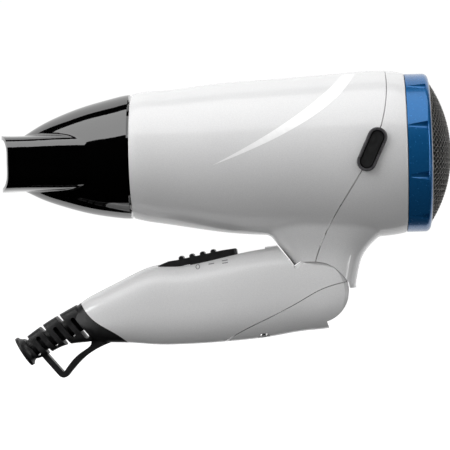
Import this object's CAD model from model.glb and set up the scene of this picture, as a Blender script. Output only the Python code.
from math import cos, pi, radians, sin, sqrt

import bpy
from mathutils import Matrix, Vector
from mathutils.bvhtree import BVHTree


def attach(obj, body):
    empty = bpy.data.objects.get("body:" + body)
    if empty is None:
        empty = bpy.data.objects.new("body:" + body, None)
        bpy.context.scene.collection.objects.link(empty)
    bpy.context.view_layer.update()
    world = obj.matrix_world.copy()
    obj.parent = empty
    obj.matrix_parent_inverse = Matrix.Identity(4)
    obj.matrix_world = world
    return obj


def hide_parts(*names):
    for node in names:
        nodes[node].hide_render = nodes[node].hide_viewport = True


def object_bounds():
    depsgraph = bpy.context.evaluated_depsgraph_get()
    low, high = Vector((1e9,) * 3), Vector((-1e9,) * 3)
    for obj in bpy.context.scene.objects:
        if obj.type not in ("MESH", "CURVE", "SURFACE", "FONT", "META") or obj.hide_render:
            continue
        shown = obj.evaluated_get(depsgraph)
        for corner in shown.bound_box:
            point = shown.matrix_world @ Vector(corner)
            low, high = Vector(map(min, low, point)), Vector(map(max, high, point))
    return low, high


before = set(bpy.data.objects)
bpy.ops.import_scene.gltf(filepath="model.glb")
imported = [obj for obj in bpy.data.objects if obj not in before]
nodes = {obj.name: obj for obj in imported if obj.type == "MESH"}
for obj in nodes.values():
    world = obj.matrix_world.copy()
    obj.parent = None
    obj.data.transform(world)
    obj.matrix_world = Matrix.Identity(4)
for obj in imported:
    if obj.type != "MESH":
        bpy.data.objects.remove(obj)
cad_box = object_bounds()

# Sizes are in metres unless the name says mm. Places written in mm count from the fold
# hinge's axis, as the CAD does, and place() moves them into the row frame.
MM = 0.001
HINGE = Vector((50.0, 0.0, 3.0)) * MM


def place(x, y, z):
    return HINGE + Vector((x, y, z)) * MM


# ------------------------------------------------------------------ node helpers
def new_material(name):
    material = bpy.data.materials.new(name)
    material.use_nodes = True
    tree = material.node_tree
    shader = tree.nodes["Principled BSDF"]
    return material, tree, shader


def add(tree, kind, **values):
    node = tree.nodes.new(kind)
    for key, value in values.items():
        setattr(node, key, value)
    return node


def place_coordinate(tree, stretch=(1, 1, 1)):
    """The point in the row frame, in metres, stretched along the axes."""
    source = add(tree, "ShaderNodeTexCoord")
    mapping = add(tree, "ShaderNodeMapping")
    mapping.inputs["Scale"].default_value = stretch
    tree.links.new(source.outputs["Object"], mapping.inputs["Vector"])
    return mapping.outputs["Vector"]


def noise(tree, scale, detail=2.0, stretch=(1, 1, 1), roughness=0.5):
    node = add(tree, "ShaderNodeTexNoise")
    node.inputs["Scale"].default_value = scale
    node.inputs["Detail"].default_value = detail
    node.inputs["Roughness"].default_value = roughness
    tree.links.new(place_coordinate(tree, stretch), node.inputs["Vector"])
    return node.outputs["Fac"]


def ramp(tree, factor, stops):
    """Colours or greys laid over a factor; stops are (position, colour)."""
    node = add(tree, "ShaderNodeValToRGB")
    elements = node.color_ramp.elements
    while len(elements) < len(stops):
        elements.new(0.5)
    for element, (position, colour) in zip(elements, stops):
        element.position = position
        element.color = (*colour, 1.0)
    tree.links.new(factor, node.inputs["Fac"])
    return node.outputs["Color"]


def spread(tree, factor, low, high):
    node = add(tree, "ShaderNodeMapRange")
    node.inputs["From Min"].default_value = 0.3
    node.inputs["From Max"].default_value = 0.7
    node.inputs["To Min"].default_value = low
    node.inputs["To Max"].default_value = high
    tree.links.new(factor, node.inputs["Value"])
    return node.outputs["Result"]


def bump(tree, shader, height, depth_mm):
    node = add(tree, "ShaderNodeBump")
    node.inputs["Distance"].default_value = depth_mm * MM
    tree.links.new(height, node.inputs["Height"])
    tree.links.new(node.outputs["Normal"], shader.inputs["Normal"])


def finish_of(name, dark, light, scale, roughness, grain_scale, grain_mm, stretch=(1, 1, 1),
              **sockets):
    """A material with clouded colour, uneven gloss and a fine surface grain."""
    material, tree, shader = new_material(name)
    clouds = noise(tree, scale, 4.0, stretch)
    tree.links.new(ramp(tree, clouds, [(0.3, dark), (0.7, light)]), shader.inputs["Base Color"])
    tree.links.new(spread(tree, clouds, *roughness), shader.inputs["Roughness"])
    bump(tree, shader, noise(tree, grain_scale, 3.0, stretch), grain_mm)
    for socket, value in sockets.items():
        shader.inputs[socket.replace("_", " ")].default_value = value
    return material


# ------------------------------------------------------------------ materials
def pearl_white():
    """Glossy white plastic with fine pearl flakes under a clear top layer."""
    material, tree, shader = new_material("pearl_white")
    flakes = noise(tree, 2600, 1.0)
    clouds = noise(tree, 30, 2.0)
    mixed = add(tree, "ShaderNodeMath", operation="MULTIPLY_ADD")
    mixed.inputs[1].default_value = 0.35
    tree.links.new(clouds, mixed.inputs[0])
    tree.links.new(flakes, mixed.inputs[2])
    tone = ramp(tree, mixed.outputs[0], [(0.4, (0.66, 0.66, 0.665)), (0.95, (0.735, 0.735, 0.735))])
    tree.links.new(tone, shader.inputs["Base Color"])
    tree.links.new(spread(tree, clouds, 0.3, 0.36), shader.inputs["Roughness"])
    bump(tree, shader, noise(tree, 420, 2.0), 0.004)
    shader.inputs["Coat Weight"].default_value = 0.6
    shader.inputs["Coat Roughness"].default_value = 0.06
    return material


def gloss_black():
    """Deep black polished plastic, with the faint ripple that a mould leaves."""
    material, tree, shader = new_material("gloss_black")
    dust = noise(tree, 1800, 3.0, roughness=0.7)
    tone = ramp(tree, dust, [(0.35, (0.0003, 0.0003, 0.0003)), (0.8, (0.0014, 0.0014, 0.0015))])
    tree.links.new(tone, shader.inputs["Base Color"])
    tree.links.new(spread(tree, noise(tree, 60, 3.0), 0.035, 0.06), shader.inputs["Roughness"])
    bump(tree, shader, noise(tree, 90, 1.0), 0.006)
    shader.inputs["IOR"].default_value = 2.2
    return material


def blue_gloss():
    return finish_of("blue_gloss", (0.006, 0.115, 0.325), (0.008, 0.13, 0.36), 900, (0.2, 0.28),
                     500, 0.004, Metallic=0.45, Coat_Weight=0.28, Coat_Roughness=0.05)


def black_rubber():
    return finish_of("black_rubber", (0.006, 0.006, 0.0065), (0.012, 0.012, 0.0125), 350, (0.36, 0.5),
                     2200, 0.02)


def black_satin():
    return finish_of("black_satin", (0.012, 0.012, 0.0125), (0.02, 0.02, 0.0205), 500, (0.33, 0.42),
                     3000, 0.012)


def rim_grey():
    return finish_of("rim_grey", (0.05, 0.048, 0.052), (0.075, 0.073, 0.078), 600, (0.25, 0.35),
                     2500, 0.008)


def moulding_grey():
    return finish_of("moulding_grey", (0.16, 0.165, 0.17), (0.21, 0.215, 0.22), 300, (0.45, 0.55),
                     1600, 0.02)


def plated_steel():
    return finish_of("plated_steel", (0.5, 0.5, 0.49), (0.68, 0.68, 0.67), 500, (0.22, 0.38),
                     1800, 0.006, stretch=(1, 1, 6), Metallic=1.0)


def mesh_steel():
    return finish_of("mesh_steel", (0.25, 0.243, 0.232), (0.4, 0.39, 0.375), 700, (0.28, 0.42),
                     4000, 0.01, Metallic=0.9)


def dark_cloth():
    return finish_of("dark_cloth", (0.003, 0.003, 0.003), (0.008, 0.008, 0.008), 900, (0.8, 0.95),
                     3500, 0.04)


def heater_wire():
    return finish_of("heater_wire", (0.28, 0.25, 0.22), (0.45, 0.42, 0.4), 900, (0.4, 0.6),
                     5000, 0.01, Metallic=1.0)


def mica_sheet():
    """Pressed mica: pale brown with darker flakes."""
    material, tree, shader = new_material("mica_sheet")
    flakes = add(tree, "ShaderNodeTexVoronoi", feature="F1")
    flakes.inputs["Scale"].default_value = 450
    tree.links.new(place_coordinate(tree), flakes.inputs["Vector"])
    tone = ramp(tree, flakes.outputs["Distance"], [(0.1, (0.42, 0.36, 0.25)), (0.7, (0.6, 0.55, 0.43))])
    tree.links.new(tone, shader.inputs["Base Color"])
    bump(tree, shader, flakes.outputs["Distance"], 0.03)
    shader.inputs["Roughness"].default_value = 0.4
    return material


def fibre_sleeve():
    """Woven glass sleeve on the heat-proof wires."""
    material, tree, shader = new_material("fibre_sleeve")
    braid = add(tree, "ShaderNodeTexWave", wave_type="BANDS", bands_direction="DIAGONAL")
    braid.inputs["Scale"].default_value = 700
    braid.inputs["Distortion"].default_value = 0.6
    tree.links.new(place_coordinate(tree), braid.inputs["Vector"])
    tone = ramp(tree, braid.outputs["Fac"], [(0.2, (0.5, 0.48, 0.42)), (0.8, (0.78, 0.76, 0.7))])
    tree.links.new(tone, shader.inputs["Base Color"])
    bump(tree, shader, braid.outputs["Fac"], 0.08)
    shader.inputs["Roughness"].default_value = 0.75
    return material


def circuit_board():
    return finish_of("circuit_board", (0.03, 0.07, 0.035), (0.06, 0.12, 0.05), 250, (0.35, 0.5),
                     900, 0.02)


def capacitor_box():
    return finish_of("capacitor_box", (0.5, 0.38, 0.06), (0.62, 0.48, 0.09), 200, (0.3, 0.4),
                     1500, 0.01)


def stripe_white():
    return finish_of("stripe_white", (0.93, 0.93, 0.93), (0.98, 0.98, 0.98), 500, (0.2, 0.28),
                     800, 0.002, Coat_Weight=0.6, Coat_Roughness=0.06)


def mark_grey():
    return finish_of("mark_grey", (0.2, 0.2, 0.205), (0.26, 0.26, 0.265), 900, (0.35, 0.5),
                     3000, 0.004)


def dress(material, *names):
    for name in names:
        mesh = nodes[name].data
        mesh.materials.clear()
        mesh.materials.append(material)


def dress_cad():
    white = pearl_white()
    dress(white, "front_housing", "rear_housing", "handle_shell", "handle_cover", "hinge_drum")
    dress(gloss_black(), "nozzle")
    dress(blue_gloss(), "filter_ring")
    dress(black_rubber(), "strain_relief")
    dress(black_satin(), "switch_knob", "switch_slider", "switch_body", "push_button", "button_switch",
          "outlet_grille", "inlet_grille", "mesh_frame")
    dress(rim_grey(), "button_bezel")
    dress(moulding_grey(), "air_duct", "fan_wheel", "cord_clamp")
    dress(plated_steel(), "hinge_pin", "hinge_washers", "housing_screws", "handle_screws", "clamp_screws",
          "motor_can", "motor_shaft", "nozzle_snap_ring", "button_spring", "thermostat", "thermal_fuse")
    dress(heater_wire(), "heater_coil")
    dress(mica_sheet(), "mica_frame", "mica_tube")
    dress(fibre_sleeve(), "handle_wires", "barrel_wires")
    dress(circuit_board(), "rectifier_board", "rectifier_diodes")
    dress(capacitor_box(), "suppression_capacitor")


# ------------------------------------------------------------------ mesh helpers
def make_piece(name, points, faces, material):
    mesh = bpy.data.meshes.new(name)
    mesh.from_pydata(points, [], faces)
    mesh.validate()
    mesh.shade_smooth()
    mesh.materials.append(material)
    piece = bpy.data.objects.new(name, mesh)
    bpy.context.scene.collection.objects.link(piece)
    return piece


def surface_of(name):
    mesh = nodes[name].data
    return BVHTree.FromPolygons([v.co for v in mesh.vertices], [p.vertices for p in mesh.polygons])


BESIDE = -100.0                    # mm, well outside the part on its near side


def on_side(tree, x, z, lift_mm):
    """The point of a surface seen from the side at x, z in mm, lifted off it by lift_mm."""
    start = place(x, BESIDE, z)
    spot, normal, _, _ = tree.ray_cast(start, Vector((0, 1, 0)))
    if normal.y > 0:
        normal = -normal
    return spot + normal * lift_mm * MM


def grid_faces(rows, columns, closed=False):
    faces = []
    for r in range(rows - 1):
        for c in range(columns - (0 if closed else 1)):
            d = (c + 1) % columns
            faces.append((r * columns + c, r * columns + d, (r + 1) * columns + d, (r + 1) * columns + c))
    return faces


# ------------------------------------------------------------------ woven filter mesh
WIRE_R = 0.145
WIRE_PITCH = 1.85                  # between neighbouring wires of one family
WIRE_LEAN = radians(38)            # of each family from level
WIRE_SIDES = 6
WAVE = 0.95                        # of the wire's radius, how far it swings out at a crossing
DOME_TOP = 61.3
DOME_EDGE = 51.6
DOME_EDGE_R = 31.6
FAN_AXIS = 60.5
BEAD_R = 0.65                      # hem round the edge of the mesh
HEM_STEPS = 120
HEM_SIDES = 10
HEM_INSET = 0.1
EDGE_MARGIN = 0.3                  # from the last wire to the edge
CLOTH_MARGIN = 0.4
CLOTH_RINGS = 16
CLOTH_STEPS = 96
CLOTH_DEPTH = 0.55                 # below the middle of the wires


def dome_point(across, up, out):
    """The point of the dome over (across, up) from its axis, moved outward by out."""
    rise = DOME_TOP - DOME_EDGE
    ball = (DOME_EDGE_R ** 2 + rise ** 2) / (2 * rise)
    depth = sqrt(ball ** 2 - across * across - up * up)
    scale = (ball + out) / ball
    return place(DOME_TOP - ball + depth * scale, across * scale, FAN_AXIS + up * scale)


def wire_line(family, number):
    """One wire of the weave: it passes over and under the wires of the other family in turn."""
    off = number * WIRE_PITCH
    half = sqrt(DOME_EDGE_R ** 2 - off ** 2)
    crossing = WIRE_PITCH / sin(2 * WIRE_LEAN)
    steps = max(4, round(2 * half / (crossing / 4)))
    line = []
    for step in range(steps + 1):
        along = -half + 2 * half * step / steps
        met = family * along / crossing + number * cos(2 * WIRE_LEAN)
        lift = family * cos(pi * (met + number)) * WIRE_R * WAVE
        across = along * cos(WIRE_LEAN) - family * off * sin(WIRE_LEAN)
        up = family * along * sin(WIRE_LEAN) + off * cos(WIRE_LEAN)
        line.append(dome_point(across, up, lift))
    return line


def sweep(points, faces, line, radius_mm, sides, closed=False):
    """Adds a round wire along a line of points."""
    first = len(points)
    count = len(line)
    for k, spot in enumerate(line):
        after = line[(k + 1) % count] if closed else line[min(k + 1, count - 1)]
        before = line[k - 1] if closed else line[max(k - 1, 0)]
        ahead = (after - before).normalized()
        side = ahead.cross(Vector((1, 0, 0))).normalized()
        up = side.cross(ahead)
        for corner in range(sides):
            angle = 2 * pi * corner / sides
            points.append(spot + (side * cos(angle) + up * sin(angle)) * radius_mm * MM)
    for row in grid_faces(count, sides, closed=True):
        faces.append(tuple(first + index for index in row))
    last = first + (count - 1) * sides
    if closed:
        for corner in range(sides):
            after = (corner + 1) % sides
            faces.append((last + corner, last + after, first + after, first + corner))
    else:
        faces.append(tuple(first + index for index in reversed(range(sides))))
        faces.append(tuple(last + index for index in range(sides)))


def filter_cloth():
    """The dark cloth that lies behind the wires."""
    points = []
    for ring in range(1, CLOTH_RINGS + 1):
        r = (DOME_EDGE_R - CLOTH_MARGIN) * ring / CLOTH_RINGS
        for step in range(CLOTH_STEPS):
            angle = 2 * pi * step / CLOTH_STEPS
            points.append(dome_point(r * cos(angle), r * sin(angle), -CLOTH_DEPTH))
    faces = grid_faces(CLOTH_RINGS, CLOTH_STEPS, closed=True)
    faces.append(tuple(reversed(range(CLOTH_STEPS))))
    piece = make_piece("filter_cloth", points, faces, dark_cloth())
    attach(piece, "filter")


def woven_mesh():
    points = []
    faces = []
    reach = int((DOME_EDGE_R - EDGE_MARGIN) / WIRE_PITCH)
    for family in (1, -1):
        for number in range(-reach, reach + 1):
            sweep(points, faces, wire_line(family, number), WIRE_R, WIRE_SIDES)
    bead = []
    for step in range(HEM_STEPS):
        angle = 2 * pi * step / HEM_STEPS
        out = Vector((0, cos(angle), sin(angle))) * (DOME_EDGE_R - HEM_INSET) * MM
        bead.append(place(DOME_EDGE - HEM_INSET, 0, FAN_AXIS) + out)
    sweep(points, faces, bead, BEAD_R, HEM_SIDES, closed=True)
    piece = make_piece("woven_mesh", points, faces, mesh_steel())
    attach(piece, "filter")
    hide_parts("filter_mesh")


# ------------------------------------------------------------------ printed marks
def curve_point(start, pull, end, t):
    """A point of the curve from start to end that is drawn towards pull."""
    a, b, c = (1 - t) ** 2, 2 * t * (1 - t), t * t
    return (a * start[0] + b * pull[0] + c * end[0], a * start[1] + b * pull[1] + c * end[1])


STRIPE_TIP = (-44.2, 56.3)         # x, z of the blade's point
STRIPE_HIGH = [(-1.9, 76.5), (13.9, 95.7)]
STRIPE_LOW = [(8.6, 74.3), (18.9, 95.6)]
STRIPE_ROWS = 61
STRIPE_COLUMNS = 7
STRIPE_LIFT = 0.05


def housing_stripe():
    """The pale blade printed on the housing, from a point near the middle to the top."""
    surface = surface_of("front_housing")
    points = []
    for row in range(STRIPE_ROWS):
        t = row / (STRIPE_ROWS - 1)
        high = curve_point(STRIPE_TIP, *STRIPE_HIGH, t)
        low = curve_point(STRIPE_TIP, *STRIPE_LOW, t)
        for column in range(STRIPE_COLUMNS):
            s = column / (STRIPE_COLUMNS - 1)
            x = high[0] + (low[0] - high[0]) * s
            z = high[1] + (low[1] - high[1]) * s
            points.append(on_side(surface, x, z, STRIPE_LIFT))
    faces = grid_faces(STRIPE_ROWS, STRIPE_COLUMNS)
    piece = make_piece("housing_stripe", points, faces, stripe_white())
    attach(piece, "barrel")


MARK_CLIMB = radians(8.1)          # slope of the row of marks, as the switch's
MARK_LIFT = 0.04
NOUGHT_CENTRE = (-52.7, 11.9)      # x, z
NOUGHT_HALVES = [(0.65, 0.8), (1.0, 1.15)]
NOUGHT_STEPS = 28
DASHES = [((-46.6, 13.1), (0.0,)), ((-40.5, 13.9), (-0.55, 0.55))]   # centre, heights about it
DASH_HALF = 1.3
DASH_THICK_HALF = 0.22
DASH_COLUMNS = 7


def mark_point(surface, centre, along, up):
    x = centre[0] + along * cos(MARK_CLIMB) - up * sin(MARK_CLIMB)
    z = centre[1] + along * sin(MARK_CLIMB) + up * cos(MARK_CLIMB)
    return on_side(surface, x, z, MARK_LIFT)


def switch_marks():
    """A nought, one dash and two dashes beside the slide switch."""
    surface = surface_of("handle_shell")
    points = []
    faces = []
    for step in range(NOUGHT_STEPS):
        angle = 2 * pi * step / NOUGHT_STEPS
        for half_a, half_b in NOUGHT_HALVES:
            points.append(mark_point(surface, NOUGHT_CENTRE, half_a * cos(angle), half_b * sin(angle)))
    for step in range(NOUGHT_STEPS):
        a = 2 * step
        b = 2 * ((step + 1) % NOUGHT_STEPS)
        faces.append((a, a + 1, b + 1, b))
    for centre, heights in DASHES:
        for height in heights:
            first = len(points)
            for row in (-DASH_THICK_HALF, DASH_THICK_HALF):
                for column in range(DASH_COLUMNS):
                    along = -DASH_HALF + 2 * DASH_HALF * column / (DASH_COLUMNS - 1)
                    points.append(mark_point(surface, centre, along, height + row))
            for face in grid_faces(2, DASH_COLUMNS):
                faces.append(tuple(first + index for index in face))
    piece = make_piece("switch_marks", points, faces, mark_grey())
    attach(piece, "handle")


# ------------------------------------------------------------------ stage
FLOOR_DROP = 0.045                 # from the part's lowest point
FAR = 6.0                          # radius of the white shell around everything
BACK = 2.0                         # distance of the card behind
BACK_HALF = 2.5
BACK_BELOW = 0.5                   # the back card's reach about the barrel's axis
BACK_ABOVE = 4.4
AXIS_Z = 0.065                     # the barrel's axis, nearly
LOW_HALF = 2.0
LOW_NEAR = 0.09
LOW_SINK = 0.1
SOFTBOX_Y = -0.34
SOFTBOX_RISE = 0.6
AIM = (0, 0, 0.05)
FILL_AIM = (0, 0, 0.03)
AIR_STRENGTH = 0.31
VIEW_Z = 0.03325                   # height of the camera and of its aim
VIEW_X = 0.00955
VIEW_DISTANCE = 1.0
VIEW_ROLL = radians(-1.4)
LENS = 177.9


def glow(name, strength):
    material = bpy.data.materials.new(name)
    material.use_nodes = True
    tree = material.node_tree
    tree.nodes.clear()
    emission = add(tree, "ShaderNodeEmission")
    emission.inputs["Color"].default_value = (1, 1, 1, 1)
    emission.inputs["Strength"].default_value = strength
    output = add(tree, "ShaderNodeOutputMaterial")
    tree.links.new(emission.outputs[0], output.inputs["Surface"])
    return material


def seen_by(thing, camera=False, gloss=False):
    thing.visible_camera = camera
    thing.visible_glossy = gloss
    thing.visible_diffuse = False
    thing.visible_transmission = camera
    thing.visible_shadow = False


def panel(name, corners, material, **seen):
    piece = make_piece(name, corners, [(0, 1, 2, 3)], material)
    seen_by(piece, **seen)


def light(name, spot, aim, width, height, radiance, gloss=True, diffuse=True):
    """A rectangular light of an even radiance, pointed from spot at aim."""
    data = bpy.data.lights.new(name, "AREA")
    data.shape = "RECTANGLE"
    data.size = width
    data.size_y = height
    data.energy = radiance * pi * width * height
    lamp = bpy.data.objects.new(name, data)
    lamp.location = spot
    lamp.rotation_euler = (Vector(aim) - Vector(spot)).to_track_quat("-Z", "Y").to_euler()
    lamp.visible_glossy = gloss
    lamp.visible_diffuse = diffuse
    bpy.context.scene.collection.objects.link(lamp)


def studio():
    floor_z = cad_box[0].z - FLOOR_DROP
    white = glow("studio_white", 1.02)
    bpy.ops.mesh.primitive_uv_sphere_add(segments=48, ring_count=24, radius=FAR)
    shell = bpy.context.object
    shell.name = "studio_shell"
    shell.data.materials.append(white)
    seen_by(shell, camera=True)

    floor_material, tree, shader = new_material("studio_floor")
    shader.inputs["Base Color"].default_value = (0.85, 0.85, 0.85, 1)
    shader.inputs["Roughness"].default_value = 0.9
    shader.inputs["Specular IOR Level"].default_value = 0.1
    shader.inputs["Emission Color"].default_value = (1, 1, 1, 1)
    shader.inputs["Emission Strength"].default_value = 0.8
    corners = [(-FAR, -FAR, floor_z), (FAR, -FAR, floor_z), (FAR, FAR, floor_z), (-FAR, FAR, floor_z)]
    panel("studio_floor", corners, floor_material, camera=True)

    under = AXIS_Z - BACK_BELOW
    over = AXIS_Z + BACK_ABOVE
    corners = [(-BACK_HALF, BACK, under), (BACK_HALF, BACK, under), (BACK_HALF, BACK, over),
               (-BACK_HALF, BACK, over)]
    panel("back_card", corners, glow("back_card", 1.0), gloss=True)
    sunk = floor_z - LOW_SINK
    corners = [(-LOW_HALF, LOW_NEAR, floor_z), (LOW_HALF, LOW_NEAR, floor_z), (LOW_HALF, BACK, sunk),
               (-LOW_HALF, BACK, sunk)]
    panel("low_card", corners, glow("low_card", 0.9), gloss=True)


def lights():
    light("softbox", (0.0, SOFTBOX_Y, AXIS_Z + SOFTBOX_RISE), (0.0, SOFTBOX_Y, 0), 1.3, 0.8, 1.75)
    light("left_strip", (-0.9, -0.7, 0.1), AIM, 0.16, 1.2, 9.0, diffuse=False)
    light("right_strip", (1.0, -0.6, 0.1), AIM, 0.14, 1.2, 7.0, diffuse=False)
    light("left_fill", (-1.0, -0.7, 0.6), FILL_AIM, 0.9, 0.9, 3.4, gloss=False)
    light("right_fill", (1.2, -0.5, 0.1), FILL_AIM, 0.8, 0.8, 0.9, gloss=False)

    world = bpy.data.worlds.new("studio_air")
    world.use_nodes = True
    air = world.node_tree.nodes["Background"]
    air.inputs["Color"].default_value = (1, 1, 1, 1)
    air.inputs["Strength"].default_value = AIR_STRENGTH
    bpy.context.scene.world = world
    world.cycles_visibility.glossy = False


def camera():
    data = bpy.data.cameras.new("camera")
    data.sensor_width = 36.0
    data.lens = LENS
    data.clip_start = 0.05
    data.clip_end = 100.0
    eye = bpy.data.objects.new("camera", data)
    bpy.context.scene.collection.objects.link(eye)
    spot = Vector((HINGE.x, -VIEW_DISTANCE, VIEW_Z))
    aim = Vector((VIEW_X, 0.0, VIEW_Z))
    turn = (aim - spot).to_track_quat("-Z", "Y").to_matrix().to_4x4()
    eye.matrix_world = Matrix.Translation(spot) @ turn @ Matrix.Rotation(VIEW_ROLL, 4, "Z")
    bpy.context.scene.camera = eye


dress_cad()
filter_cloth()
woven_mesh()
housing_stripe()
switch_marks()
studio()
lights()
camera()
bpy.context.scene.view_settings.view_transform = "Standard"
